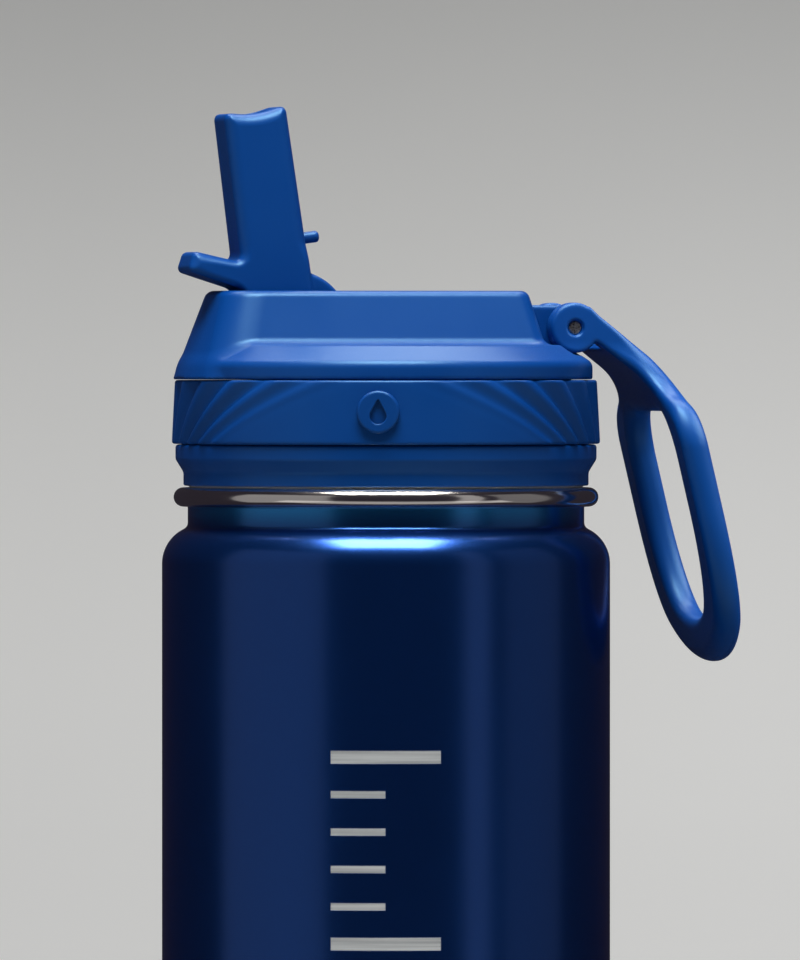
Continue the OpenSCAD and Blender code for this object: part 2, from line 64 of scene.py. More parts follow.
# Heights and radii that the frame gives
_, SHELL_HIGH = span("outer_shell")
LINER_LOW, LINER_HIGH = span("inner_liner")
LID_LOW, LID_HIGH = span("lid_base")
BAND_LOW, BAND_HIGH = span("grip_band")
HOUSING_LOW, HOUSING_HIGH = span("lid_housing")
SPOUT_LOW, SPOUT_HIGH = span("spout")
LOOP_LOW, LOOP_HIGH = span("handle_loop")
_, PAD_HIGH = span("base_cover")
GASKET_LOW, GASKET_HIGH = span("lid_gasket")
PIN_LOW, PIN_HIGH = span("handle_pin")
BADGE_LOW, BADGE_HIGH = span("badge")
BUSHING_LOW, BUSHING_HIGH = span("straw_bushing")
BODY_R = SHELL_HIGH[0]
RIM_Z = LINER_HIGH[2]
TOP_Z = HOUSING_HIGH[2]
BADGE_ANGLE = math.atan2(BADGE_LOW[1] + BADGE_HIGH[1], BADGE_LOW[0] + BADGE_HIGH[0])

# Bottle, in millimetres
NECK_R = 32.3
NECK_TALL = 2.6
SHEET = 0.6
SHOULDER_R = 6.5
FILLET_R = 1.2
FOOT_R = 3.0
SHELL_GAP = 2.5
MOUTH_R = 30.8
BEAD_R = 1.55
FLOOR_R = 8.0
THREAD_PITCH = 4.0
THREAD_DEPTH = 1.25
SHOULDER_Z = SHELL_HIGH[2] - NECK_TALL - math.sqrt((SHOULDER_R + FILLET_R) ** 2
                                                   - (NECK_R + FILLET_R - BODY_R + SHOULDER_R) ** 2)

# Lid, in millimetres
PLUG_R = 29.05
PLUG_BORE_R = 26.65
LID_BORE_R = 30.2
GROOVE_R = 32.35
COLLAR_FOOT_R = 33.0
COLLAR_R = 34.3
SEAT_R = 32.6
FACET_FOOT_Y = 13.0
BRACKET_Y = 5.4
SEAM = 0.1

# How near a radius has to be to count as on a wall, in millimetres
ON_WALL = 0.02


# Fields: negative inside, positive outside, in millimetres

def meet(a, b, r, turn=90):
    """The inside of both fields, the edge rounded to radius r where the surface turns by that angle."""
    r = r * (1 - math.cos(math.radians(turn / 2))) / (1 - math.sqrt(0.5))
    corner = np.hypot(np.maximum(a + r, 0), np.maximum(b + r, 0))
    return corner + np.minimum(np.maximum(a, b), -r)


def join(a, b, r):
    """The inside of either field, with a fillet of radius r between them."""
    return -meet(-a, -b, r)


def cut(a, b, r):
    """The inside of a that is outside b, with the edge rounded to radius r."""
    return meet(a, -b, r)


def ease(value, start, end):
    """0 before start, 1 after end, and smooth between them."""
    t = np.clip((value - start) / (end - start), 0, 1)
    return t * t * (3 - 2 * t)


def plane(a, b, point, degrees):
    """Distance past a line through point whose outward side points at that angle."""
    turn = math.radians(degrees)
    return (a - point[0]) * math.cos(turn) + (b - point[1]) * math.sin(turn)


# Meshes

def new_piece(name, points, faces):
    """A smooth-shaded mesh from points in millimetres."""
    mesh = bpy.data.meshes.new(name)
    mesh.from_pydata((np.asarray(points) * MM).tolist(), [], np.asarray(faces).tolist())
    mesh.validate()
    mesh.polygons.foreach_set("use_smooth", [True] * len(mesh.polygons))
    piece = bpy.data.objects.new(name, mesh)
    bpy.context.scene.collection.objects.link(piece)
    return piece


def settle(points, field, step, rounds=3, probe=0.01):
    """Moves points on to the surface where the field is zero."""
    for _ in range(rounds):
        slope = np.empty_like(points)
        for axis in range(3):
            offset = np.zeros(3)
            offset[axis] = probe
            ahead, behind = (points + offset).T, (points - offset).T
            slope[:, axis] = (field(*ahead) - field(*behind)) / (2 * probe)
        steep = np.maximum((slope ** 2).sum(1), 0.1)
        move = np.clip(field(*points.T) / steep, -step, step)
        points = points - move[:, None] * slope
    return points


def field_piece(name, field, low, high, cell):
    """A closed mesh of the surface where the field is zero, inside a box in millimetres."""
    margin = 2 * cell
    axes = [np.arange(a - margin, b + margin + cell, cell) for a, b in zip(low, high)]
    shape = [len(axis) for axis in axes]
    values = np.broadcast_to(field(*np.ix_(*axes)), shape)
    grid = openvdb.FloatGrid(background=3 * cell)
    grid.copyFromArray(np.clip(values, -3 * cell, 3 * cell).astype(np.float32))
    points, quads = grid.convertToQuads(isovalue=0)
    points = points.astype(float) * cell + [axis[0] for axis in axes]
    return new_piece(name, settle(points, field, cell / 2), quads)


def rounded(corners, steps=8):
    """Outline through corners (radius, height, rounding), with each rounded corner as an arc."""
    outline = []
    for i, (r, z, rounding) in enumerate(corners):
        here = np.array([r, z])
        if rounding <= 0:
            outline.append(here)
            continue
        back = np.array(corners[i - 1][:2]) - here
        ahead = np.array(corners[(i + 1) % len(corners)][:2]) - here
        back, ahead = back / np.linalg.norm(back), ahead / np.linalg.norm(ahead)
        half = math.acos(np.clip(back @ ahead, -1, 1)) / 2
        middle = here + (back + ahead) / np.linalg.norm(back + ahead) * rounding / math.sin(half)
        start = here + back * rounding / math.tan(half) - middle
        end = here + ahead * rounding / math.tan(half) - middle
        first = math.atan2(start[1], start[0])
        turn = (math.atan2(end[1], end[0]) - first + math.pi) % (2 * math.pi) - math.pi
        for k in range(steps + 1):
            angle = first + turn * k / steps
            outline.append(middle + rounding * np.array([math.cos(angle), math.sin(angle)]))
    return np.array(outline)


def refined(outline, step, low=-math.inf, high=math.inf):
    """The closed outline with more points on its straight stretches between two heights."""
    finer = []
    for here, ahead in zip(outline, np.roll(outline, -1, axis=0)):
        inside = low <= min(here[1], ahead[1]) and max(here[1], ahead[1]) <= high
        count = max(1, int(np.linalg.norm(ahead - here) / step)) if inside else 1
        finer += [here + (ahead - here) * k / count for k in range(count)]
    return np.array(finer)


def lathe(name, outline, around=256, relief=None, centre=(0, 0, 0), lying=False):
    """A closed outline turned about +Z, or about Y when lying; relief(angle, r, z) adds to the radius."""
    angles = 2 * math.pi * np.arange(around) / around
    r, z = outline[:, 0][:, None], outline[:, 1][:, None]
    if relief is not None:
        r = r + relief(angles[None, :], r, z)
    r, z = np.broadcast_arrays(np.maximum(r, 0), z + 0 * angles)
    x, y = r * np.cos(angles), r * np.sin(angles)
    points = np.stack([x, z, -y] if lying else [x, y, z], axis=-1).reshape(-1, 3) + centre
    rows = len(outline)
    i, j = np.meshgrid(np.arange(rows), np.arange(around), indexing="ij")
    here, up = i * around, (i + 1) % rows * around
    ahead = (j + 1) % around
    quads = np.stack([here + j, here + ahead, up + ahead, up + j], axis=-1).reshape(-1, 4)
    piece = new_piece(name, points, quads)
    close_axis(piece)
    return piece


def close_axis(piece):
    """Merges points that meet on the axis, and turns every face outwards."""
    shape = bmesh.new()
    shape.from_mesh(piece.data)
    bmesh.ops.remove_doubles(shape, verts=shape.verts, dist=1e-7)
    bmesh.ops.recalc_face_normals(shape, faces=shape.faces)
    shape.to_mesh(piece.data)
    shape.free()
    piece.data.polygons.foreach_set("use_smooth", [True] * len(piece.data.polygons))


def fit_out(piece, body, slot, material, *nodes):
    """Gives a piece its material and its body, and hides the CAD nodes that it stands for; the slot is not
    used.
    """
    piece.data.materials.clear()
    piece.data.materials.append(material)
    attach(piece, body)
    if nodes:
        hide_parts(*nodes)


# Colours of the blue parts, as linear red, green and blue
LACQUER = (0.003, 0.068, 0.31)
LACQUER_DEEP = (0.002, 0.048, 0.25)
# The neck colour is a painted reflection: a brighter, greener lacquer laid on the neck
LACQUER_NECK_REFLECTION = (0.012, 0.24, 0.62)
LACQUER_SHEEN = (0.55, 0.42, 0.75)
BLUE = (0.0, 0.039, 0.205)
BLUE_DEEP = (0.0, 0.033, 0.175)
GRIP_BLUE = (0.0, 0.037, 0.19)
GRIP_BLUE_DEEP = (0.0, 0.031, 0.165)
PLASTIC_SHEEN = (0.35, 0.76, 1.0)

# The column of ruler ticks etched in the lacquer, in millimetres and degrees
TICK_TURN = 14.0
TICK_TOP = 186.0
TICK_PITCH = 6.0
TICK_COUNT = 22
TICK_GROUP = 5
TICK_LONG = 18.0
TICK_SHORT = 9.0
TICK_LONG_T = 2.2
TICK_T = 1.3
TICK_EDGE = 0.12


# Materials: lengths in metres, noise scales in cycles a metre

def new_material(name, color, roughness, metallic=0.0):
    """A material whose Principled shader is returned with it."""
    material = bpy.data.materials.new(name)
    material.use_nodes = True
    shader = material.node_tree.nodes["Principled BSDF"]
    shader.inputs["Base Color"].default_value = (*color, 1)
    shader.inputs["Roughness"].default_value = roughness
    shader.inputs["Metallic"].default_value = metallic
    return material, shader


def node(material, kind, settings=None, **inputs):
    """A new node; each input is a value or another node's output socket."""
    made = material.node_tree.nodes.new(kind)
    for key, value in (settings or {}).items():
        setattr(made, key, value)
    for key, value in inputs.items():
        socket = made.inputs[int(key[1:])] if key[0] == "i" and key[1:].isdigit() else made.inputs[key]
        if isinstance(value, bpy.types.NodeSocket):
            material.node_tree.links.new(value, socket)
        else:
            socket.default_value = value
    return made


def math_node(material, operation, a, b=0.0, c=0.0, clamp=False):
    made = node(material, "ShaderNodeMath", {"operation": operation, "use_clamp": clamp}, i0=a, i1=b, i2=c)
    return made.outputs[0]


def place_of(material):
    """The point on the object, in metres."""
    return node(material, "ShaderNodeTexCoord").outputs["Object"]


def noise(material, scale, detail=2.0, stretch=(1, 1, 1)):
    """Noise in the object's own space; scale is in cycles a metre."""
    where = place_of(material)
    if stretch != (1, 1, 1):
        where = node(material, "ShaderNodeMapping", Vector=where, Scale=stretch).outputs[0]
    made = node(material, "ShaderNodeTexNoise", Vector=where, Scale=scale, Detail=detail)
    return made.outputs["Fac"]


def spread(material, value, low, high, start=0.3, end=0.7):
    """A value that ranges from low to high as the input goes from start to end."""
    made = node(material, "ShaderNodeMapRange", Value=value)
    for key, number in zip(("From Min", "From Max", "To Min", "To Max"), (start, end, low, high)):
        made.inputs[key].default_value = number
    return made.outputs[0]


def mix_color(material, factor, a, b):
    made = node(material, "ShaderNodeMix", {"data_type": "RGBA"})
    for index, value in ((0, factor), (6, a), (7, b)):
        if isinstance(value, bpy.types.NodeSocket):
            material.node_tree.links.new(value, made.inputs[index])
        else:
            made.inputs[index].default_value = (*value, 1) if index else value
    return made.outputs[2]


def bump(material, shader, height, strength, distance):
    made = node(material, "ShaderNodeBump", Height=height, Strength=strength, Distance=distance)
    material.node_tree.links.new(made.outputs[0], shader.inputs["Normal"])


def link(material, output, shader, name):
    material.node_tree.links.new(output, shader.inputs[name])


def moulded_plastic(name, color, deeper, roughness=0.37):
    """Satin moulded plastic: a fine spark-eroded grain, with faint drifts of tone and gloss."""
    grain_height = 0.00003
    material, shader = new_material(name, color, roughness)
    drift = noise(material, 55, 3)
    speck = noise(material, 3200, 2)
    link(material, mix_color(material, drift, deeper, color), shader, "Base Color")
    tone = math_node(material, "MULTIPLY_ADD", speck, 0.5, math_node(material, "MULTIPLY", drift, 0.5))
    link(material, spread(material, tone, roughness - 0.07, roughness + 0.08), shader, "Roughness")
    bump(material, shader, speck, 0.2, grain_height)
    shader.inputs["Specular IOR Level"].default_value = 0.5
    shader.inputs["Specular Tint"].default_value = (*PLASTIC_SHEEN, 1)
    return material


def etched_ticks(material):
    """1 inside a column of ruler ticks that faces the front, 0 elsewhere."""
    where = node(material, "ShaderNodeSeparateXYZ", Vector=place_of(material))
    x, y, z = where.outputs
    turned = math_node(material, "ARCTAN2", x, math_node(material, "MULTIPLY", y, -1.0))
    facing = math.radians(-TICK_TURN)
    across = math_node(material, "MULTIPLY", math_node(material, "SUBTRACT", turned, facing), BODY_R)
    below_top = math_node(material, "SUBTRACT", TICK_TOP * MM, z)
    steps = math_node(material, "DIVIDE", below_top, TICK_PITCH * MM)
    number = math_node(material, "FLOOR", steps)
    depth = math_node(material, "MULTIPLY", math_node(material, "FRACT", steps), TICK_PITCH)
    is_long = math_node(material, "LESS_THAN", math_node(material, "MODULO", number, TICK_GROUP), 0.5)
    half_tall = math_node(material, "MULTIPLY_ADD", is_long, TICK_LONG_T / 2 - TICK_T / 2, TICK_T / 2)
    reach = math_node(material, "MULTIPLY_ADD", is_long, TICK_LONG - TICK_SHORT, TICK_SHORT)
    off_middle = math_node(material, "ABSOLUTE", math_node(material, "SUBTRACT", depth, TICK_PITCH / 2))
    in_height = math_node(material, "SUBTRACT", half_tall, off_middle)
    from_left = math_node(material, "ADD", across, TICK_LONG / 2)
    in_width = math_node(material, "MINIMUM", from_left, math_node(material, "SUBTRACT", reach, from_left))
    in_column = math_node(material, "MINIMUM", math_node(material, "ADD", number, 0.5),
                          math_node(material, "SUBTRACT", TICK_COUNT - 0.5, number))
    nearest = math_node(material, "MINIMUM", in_height, math_node(material, "MINIMUM", in_width, in_column))
    return math_node(material, "MULTIPLY", nearest, 1 / TICK_EDGE, clamp=True)


def lacquered_steel():
    """Deep metallic lacquer with fine flake, a painted reflection that makes the neck brighter and greener,
    and ticks etched through to the steel.
    """
    neck_from, neck_to = (SHOULDER_Z + 6) * MM, (SHOULDER_Z + 9) * MM
    etched_depth = 0.00008
    material, shader = new_material("navy_lacquer", LACQUER, 0.3, 0.9)
    flake = noise(material, 9000, 1)
    drift = noise(material, 30, 3)
    brushed = noise(material, 40, 4, (1, 1, 60))
    ticks = etched_ticks(material)
    paint = mix_color(material, spread(material, flake, 0, 1), LACQUER_DEEP, LACQUER)
    # Painted reflection: above the shoulder the lacquer turns to the brighter, greener neck colour
    height = node(material, "ShaderNodeSeparateXYZ", Vector=place_of(material)).outputs[2]
    neck_reflection = spread(material, height, 0, 1, neck_from, neck_to)
    paint = mix_color(material, neck_reflection, paint, LACQUER_NECK_REFLECTION)
    steel = mix_color(material, spread(material, brushed, 0, 1), (0.34, 0.36, 0.36), (0.58, 0.60, 0.59))
    link(material, mix_color(material, ticks, paint, steel), shader, "Base Color")
    paint_gloss = spread(material, drift, 0.22, 0.27)
    steel_gloss = math_node(material, "MULTIPLY", ticks, 0.3)
    link(material, math_node(material, "ADD", paint_gloss, steel_gloss), shader, "Roughness")
    link(material, math_node(material, "MULTIPLY_ADD", ticks, -0.5, 0.92), shader, "Metallic")
    relief = math_node(material, "MULTIPLY_ADD", ticks, -1.0, math_node(material, "MULTIPLY", flake, 0.08))
    bump(material, shader, relief, 0.35, etched_depth)
    shader.inputs["Specular Tint"].default_value = (*LACQUER_SHEEN, 1)
    shader.inputs["Coat Weight"].default_value = 0.65
    shader.inputs["Coat Roughness"].default_value = 0.2
    return material


def polished_steel():
    """Mirror-polished steel with the faint turning marks that polishing leaves."""
    material, shader = new_material("polished_steel", (0.74, 0.71, 0.69), 0.08, 1.0)
    turned = noise(material, 12, 5, (1, 1, 320))
    smear = noise(material, 70, 3)
    link(material, spread(material, smear, 0.09, 0.16), shader, "Roughness")
    tone = mix_color(material, turned, (0.82, 0.76, 0.71), (0.95, 0.90, 0.85))
    link(material, tone, shader, "Base Color")
    bump(material, shader, turned, 0.08, 0.00004)
    return material


def brushed_steel():
    """Steel with a fine brushed grain round the axis."""
    material, shader = new_material("brushed_steel", (0.56, 0.56, 0.57), 0.32, 1.0)
    grain = noise(material, 25, 6, (1, 1, 90))
    link(material, mix_color(material, grain, (0.42, 0.42, 0.43), (0.66, 0.66, 0.67)), shader, "Base Color")
    link(material, spread(material, grain, 0.26, 0.4), shader, "Roughness")
    bump(material, shader, grain, 0.2, 0.00005)
    return material


def pin_steel():
    """The cut end of a knurled steel pin: coarse bright specks."""
    material, shader = new_material("pin_steel", (0.42, 0.42, 0.43), 0.3, 1.0)
    speck = noise(material, 2600, 3)
    tone = mix_color(material, spread(material, speck, 0, 1), (0.12, 0.12, 0.13), (0.62, 0.62, 0.63))
    link(material, tone, shader, "Base Color")
    link(material, spread(material, speck, 0.22, 0.42), shader, "Roughness")
    bump(material, shader, speck, 0.5, 0.0001)
    return material


def soft_rubber(name, color, deeper):
    """Matt rubber or silicone: a dusty surface with a soft grain."""
    material, shader = new_material(name, color, 0.6)
    dust = noise(material, 240, 4)
    grain = noise(material, 2400, 2)
    link(material, mix_color(material, dust, deeper, color), shader, "Base Color")
    link(material, spread(material, grain, 0.52, 0.7), shader, "Roughness")
    bump(material, shader, grain, 0.2, 0.00008)
    shader.inputs["Sheen Weight"].default_value = 0.15
    return material


def clear_plastic():
    """Clear plastic of a drawn straw, with faint lengthwise draw lines."""
    material, shader = new_material("clear_plastic", (0.88, 0.93, 0.96), 0.12)
    lines = noise(material, 900, 3, (1, 1, 0.02))
    link(material, mix_color(material, lines, (0.80, 0.86, 0.90), (0.93, 0.96, 0.98)), shader, "Base Color")
    link(material, spread(material, lines, 0.08, 0.2), shader, "Roughness")
    bump(material, shader, lines, 0.1, 0.00005)
    shader.inputs["Transmission Weight"].default_value = 0.85
    shader.inputs["IOR"].default_value = 1.49
    return material


def cast_metal(name, color, deeper, roughness):
    """Unfinished metal or fused glass with a grainy surface."""
    material, shader = new_material(name, color, roughness, 0.6)
    grain = noise(material, 1500, 4)
    link(material, mix_color(material, grain, deeper, color), shader, "Base Color")
    link(material, spread(material, grain, roughness - 0.1, roughness + 0.1), shader, "Roughness")
    bump(material, shader, grain, 0.3, 0.0001)
    return material


PLASTIC = moulded_plastic("blue_plastic", BLUE, BLUE_DEEP)
PLASTIC_SATIN = moulded_plastic("blue_grip", GRIP_BLUE, GRIP_BLUE_DEEP, 0.38)
SILICONE = soft_rubber("silicone", (0.62, 0.63, 0.64), (0.5, 0.51, 0.52))


# Bottle

def thread(angle, z, start, turns):
    """Height of a helical ridge above its wall, with tapered ends."""
    taper, base, crest = 0.9, 1.6, 0.9
    height = 0 * (angle + z)
    for lap in range(math.ceil(turns)):
        turned = angle + 2 * math.pi * lap
        left = 2 * math.pi * turns - turned
        off = np.abs(z - start - THREAD_PITCH * turned / (2 * math.pi))
        grow = np.clip(np.minimum(turned, left) / taper, 0, 1)
        height = np.maximum(height, ease(base / 2 - off, 0, (base - crest) / 2) * grow * THREAD_DEPTH)
    return height


def wall_corners(inset, neck_r):
    """The shoulder and neck corners of a wall that lies inset from the bottle's outside."""
    arc, fillet = SHOULDER_R - inset, NECK_R + FILLET_R - neck_r
    centre_r = BODY_R - SHOULDER_R
    out = NECK_R + FILLET_R - centre_r
    rise = math.sqrt((arc + fillet) ** 2 - out ** 2)
    touch_r = centre_r + out * arc / (arc + fillet)
    touch_z = SHOULDER_Z + rise * arc / (arc + fillet)
    just_clear = 0.97
    return [(r, touch_z - (r - touch_r) * out / rise, rounding * just_clear)
            for r, rounding in ((BODY_R - inset, arc), (neck_r, fillet))]


def build_shell():
    """The lacquered outside, down to the corner round the base pad."""
    foot_in, lip, fold = PAD_HIGH[0] + SEAM, 0.1, 0.2
    top = SHELL_HIGH[2]
    outside = [(foot_in, 0, fold), (BODY_R, 0, FOOT_R), *wall_corners(0, NECK_R), (NECK_R, top, lip)]
    inside = [(NECK_R - SHEET, top, lip), *reversed(wall_corners(SHEET, NECK_R - SHEET)),
              (BODY_R - SHEET, SHEET, FOOT_R - SHEET), (foot_in, SHEET, fold)]
    shell = lathe("bottle_shell", rounded(outside + inside, 16), 360)
    fit_out(shell, "bottle", "navy_lacquer", lacquered_steel(), "outer_shell")


def build_liner():
    """The steel liner, its rolled rim, and the thread pressed into its mouth."""
    outer_r, gap, floor = MOUTH_R + SHEET, SHELL_GAP + SHEET, LINER_LOW[2]
    rim_out, bead_low, bead_round = LINER_HIGH[0], RIM_Z - 2 * BEAD_R, BEAD_R - 0.01
    mouth_round, thread_start, threaded, mesh_step = 0.8, RIM_Z - BEAD_R - 4.85, 8.2, 0.25
    outside = [(0, floor, 0), (BODY_R - SHELL_GAP, floor, FLOOR_R), *wall_corners(SHELL_GAP, outer_r),
               (outer_r, bead_low, 0), (rim_out, bead_low, bead_round), (rim_out, RIM_Z, bead_round)]
    inside = [(MOUTH_R, RIM_Z, mouth_round), *reversed(wall_corners(gap, MOUTH_R)),
              (BODY_R - gap, floor + SHEET, FLOOR_R - SHEET), (0, floor + SHEET, 0)]
    outline = refined(rounded(outside + inside, 14), mesh_step, RIM_Z - 9, RIM_Z)

    def relief(angle, r, z):
        on_wall = (np.abs(r - MOUTH_R) < ON_WALL) & (z > RIM_Z - threaded)
        return -thread(angle, z, thread_start, 1) * on_wall

    liner = lathe("steel_liner", outline, 480, relief)
    fit_out(liner, "bottle", "polished_steel", polished_steel(), "inner_liner")


def build_base():
    """The pad under the bottle, with shallow moulded rings."""
    pad_r, pad_h = PAD_HIGH[0], PAD_HIGH[2]
    ring_h, ring_pitch, margin, mesh_step = 0.06, 4.0, 0.6, 0.25
    rings = [(r, ring_h * (1 - math.cos(2 * math.pi * r / ring_pitch)))
             for r in np.arange(0, pad_r - margin, mesh_step)]
    edge = rounded([(0, 0, 0), (pad_r, 0, 0.25), (pad_r, pad_h, 0.15), (0, pad_h, 0)])
    pad = lathe("base_pad", np.array([*rings, *edge[1:]]), 192)
    rubber = soft_rubber("base_rubber", (0.02, 0.06, 0.2), (0.015, 0.045, 0.15))
    fit_out(pad, "bottle", "base_rubber", rubber, "base_cover")


# Lid

def build_collar():
    """The collar, the threaded plug inside it, and the duct that holds the straw."""
    foot, top = LID_LOW[2], LID_HIGH[2]
    plug_z, collar_z = foot + 5.0, RIM_Z + 0.3
    seat_z, flange_z, deck_top = BAND_LOW[2] - SEAM, RIM_Z + 1.6, top - 4.1
    deck_z, ceiling_z = deck_top - 2.4, flange_z + 2
    flare_low, flare_high = collar_z + 2.2, collar_z + 4.3
    outline = rounded([
        (PLUG_BORE_R, plug_z, 0.4), (PLUG_R, plug_z, 0.8), (PLUG_R, flange_z, 0), (GROOVE_R, flange_z, 0.2),
        (GROOVE_R, collar_z, 0.25), (COLLAR_FOOT_R, collar_z, 0.3), (COLLAR_FOOT_R, flare_low, 1.6),
        (COLLAR_R, flare_high, 1.2), (COLLAR_R, seat_z, 0.5), (SEAT_R, seat_z, 0), (SEAT_R, top, 0.1),
        (LID_BORE_R, top, 0.1), (LID_BORE_R, deck_top, 0), (0, deck_top, 0), (0, deck_z, 0),
        (LID_BORE_R, deck_z, 0), (LID_BORE_R, ceiling_z, 0), (PLUG_BORE_R, ceiling_z, 0)])
    thread_start, turns, mesh_step = RIM_Z - 8.4, 1.5, 0.25

    def relief(angle, r, z):
        on_plug = (np.abs(r - PLUG_R) < ON_WALL) & (z > plug_z + 1) & (z < flange_z - 0.1)
        return thread(angle, z, thread_start, turns) * on_plug

    collar = lathe("lid_collar", refined(outline, mesh_step, plug_z, flange_z), 480, relief)
    fit_out(collar, "lid", "blue_plastic", PLASTIC, "lid_base")
    duct_in, duct_out = 4.25, 5.5
    port_x = (BUSHING_LOW[0] + BUSHING_HIGH[0]) / 2
    wall = rounded([(duct_in, foot, 0.3), (duct_out, foot, 0.5),
                    (duct_out, deck_z, 0), (duct_in, deck_z, 0)])
    duct = lathe("straw_duct", wall, 96, centre=(port_x, 0, 0))
    fit_out(duct, "lid", "blue_plastic", PLASTIC)


def build_gasket():
    """The silicone ring between the collar and the rim."""
    outer, low, high = GASKET_HIGH[0], GASKET_LOW[2], GASKET_HIGH[2]
    inner = outer - 2
    outline = rounded([(inner, low, 0.5), (outer, low, 0.5), (outer, high, 0.3), (inner, high, 0.3)])
    ring = lathe("lid_gasket_ring", outline, 256)
    fit_out(ring, "gasket", "silicone", SILICONE, "lid_gasket")


def build_band():
    """The grip band; its grooves fan out from below each side of the lid and fade towards the badge."""
    low, high = BAND_LOW[2], BAND_HIGH[2]
    foot_r, crown_r, inner_r = BAND_HIGH[0], BAND_HIGH[0] - 0.5, SEAT_R + 0.05
    mesh_step, around = 0.36, 960
    outline = refined(rounded([(inner_r, low, 0.1), (foot_r, low, 0.45), (crown_r, high, 0.45),
                               (inner_r, high, 0.1)], 6), mesh_step)
    reach, bend, pitch, depth = 13.0, 0.02, 0.34, 0.9
    skew, full_until, gone_at = 0.65, 1.0, 2.1

    def relief(angle, r, z):
        side = (np.degrees(angle - BADGE_ANGLE) % 180) - 90
        rise = z - low
        ray = np.radians(np.abs(side)) * foot_r / (reach + rise + bend * rise ** 2)
        wave = 0.5 + 0.5 * np.cos(2 * math.pi * (ray / pitch % 1) ** skew)
        fade = 1 - ease(ray, full_until, gone_at)
        return -depth * fade * wave * ease(r, SEAT_R + 0.2, SEAT_R + 1.2)

    band = lathe("grip_band_ring", outline, around, relief)
    fit_out(band, "lid", "blue_plastic", PLASTIC_SATIN, "grip_band")


def badge_field(x, y, z):
    """A raised disc with a water drop sunk into its face."""
    out = x * math.cos(BADGE_ANGLE) + y * math.sin(BADGE_ANGLE)
    side = np.abs(y * math.cos(BADGE_ANGLE) - x * math.sin(BADGE_ANGLE))
    up = z - (BADGE_LOW[2] + BADGE_HIGH[2]) / 2
    radius = (BADGE_HIGH[2] - BADGE_LOW[2]) / 2
    face, thick, edge, sunk = BAND_HIGH[0] + 0.95, 2.6, 0.45, 0.8
    disc = meet(meet(np.hypot(side, up) - radius, out - face, edge), face - thick - out, 0.1)
    bowl_r, tip, tall, bowl_drop = 1.35, 0.12, 2.6, 0.62
    lean = (bowl_r - tip) / tall
    level = math.sqrt(1 - lean * lean)
    rise = up + bowl_drop
    flank = side * level + rise * lean - bowl_r
    drop = np.where(rise * level - side * lean < 0, np.hypot(side, rise) - bowl_r,
                    np.maximum(flank, rise - tall))
    return cut(disc, np.maximum(drop, face - sunk - out), 0.12)


def build_badge():
    """The disc on the front of the grip band."""
    badge = field_piece("badge_disc", badge_field, BADGE_LOW, BADGE_HIGH, 0.07)
    fit_out(badge, "lid", "blue_plastic", PLASTIC_SATIN, "badge")


def channel_field(x, y, z):
    """The trough that the folded spout lies in, with the round pocket for its hub."""
    pocket_r, trough_long, trough_deep, half_w = 9.75, 36.8, 4.05, 5.65
    ahead, up = x - HINGE_X, z - HINGE_Z
    pocket = np.hypot(ahead, up) - pocket_r
    trough = np.maximum(np.maximum(-ahead, ahead - trough_long), -trough_deep - up)
    behind = np.maximum(np.maximum(-pocket_r - ahead, ahead), -up)
    return meet(np.minimum(pocket, np.minimum(trough, behind)), np.abs(y) - half_w, 0.3)


def housing_field(x, y, z):
    """The lid's top: a chamfered skirt, the raised block, the handle's bracket, and the spout's trough."""
    r, side = np.hypot(x, y), np.abs(y)
    low, ledge_z, wall_r = BAND_HIGH[2] + SEAM, TOP_Z - 8.8, HOUSING_HIGH[0]
    chamfer = (wall_r, low + 2.7)
    skirt = meet(r - wall_r, plane(r, z, chamfer, 56.9), 1.6, 56.9)
    skirt = meet(skirt, z - ledge_z, 2, 33.1)
    cone = plane(r, z, chamfer, 20.8)
    facet = plane(side, z, (FACET_FOOT_Y, ledge_z), 19.4)
    back = plane(x, z, (21.75, TOP_Z), 14)
    block = meet(meet(cone, facet, 4.5), back, 2.2)
    block = meet(block, z - TOP_Z, 1.6, 70)
    body = meet(join(skirt, block, 1.2), low - z, 0.35)
    knuckle_r, root_x, scoop_r = 3.7, 20, 4.5
    from_pin = np.hypot(x - PIN_X, z - PIN_Z)
    neck = np.maximum(np.maximum(x - PIN_X, root_x - x), z - PIN_Z - knuckle_r)
    knuckle = np.maximum(np.minimum(from_pin - knuckle_r, neck), low - z)
    knuckle = meet(knuckle, side - BRACKET_Y, 0.6)
    scoop = np.maximum(from_pin - scoop_r, BRACKET_Y + 0.02 - side)
    body = join(cut(body, scoop, 0.35), knuckle, 0.5)
    body = cut(body, channel_field(x, y, z), 0.45)
    vent_x, vent_half, vent_r = -1.61, 0.63, 1.25
    vent = np.hypot(np.maximum(np.abs(x - vent_x) - vent_half, 0), y) - vent_r
    return cut(body, vent, 0.25)


def build_housing():
    """The lid's top cover."""
    low = [*HOUSING_LOW[:2], BAND_HIGH[2]]
    housing = field_piece("lid_top", housing_field, low, HOUSING_HIGH, 0.34)
    fit_out(housing, "lid", "blue_plastic", PLASTIC, "lid_housing")


# Spout

